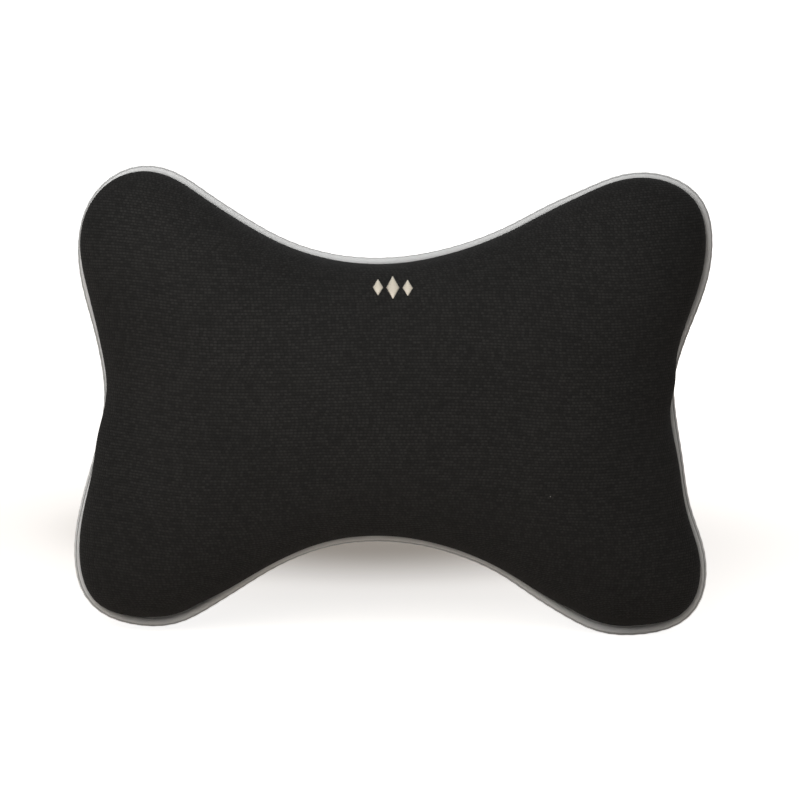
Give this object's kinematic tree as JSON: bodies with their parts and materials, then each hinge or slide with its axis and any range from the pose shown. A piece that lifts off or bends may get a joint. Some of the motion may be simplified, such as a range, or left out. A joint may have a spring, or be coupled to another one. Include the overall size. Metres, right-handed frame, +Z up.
{
  "type": "car neck pillow",
  "caption": "Bone-shaped stuffed car neck pillow with a knitted cover, a piped seam and an elastic strap that holds it on a headrest.",
  "frame": {"origin": "middle of the strap's inner face, where the back of a headrest bears on it", "axes": "+X across the pillow's length, +Y from the front face to the strap, +Z up as it hangs on a headrest"},
  "size_m": [0.2899, 0.1095, 0.2118],
  "materials": {
    "black_knit": "matte fine knit",
    "grey_piping": "matte woven",
    "black_elastic": "matte ribbed",
    "black_thread": "slight sheen",
    "cream_thread": "satin stitch",
    "white_fibre": "matte fibre"
  },
  "bodies": {
    "root": {"front_panel": "black_knit", "back_panel": "black_knit", "filling": "white_fibre", "piping": "grey_piping", "piping_tape": "grey_piping", "headrest_strap": "black_elastic", "strap_tack_left_1": "black_thread", "strap_tack_left_2": "black_thread", "strap_tack_right_1": "black_thread", "strap_tack_right_2": "black_thread", "motif_left": "cream_thread", "motif_middle": "cream_thread", "motif_right": "cream_thread"}
  },
  "joints": []
}
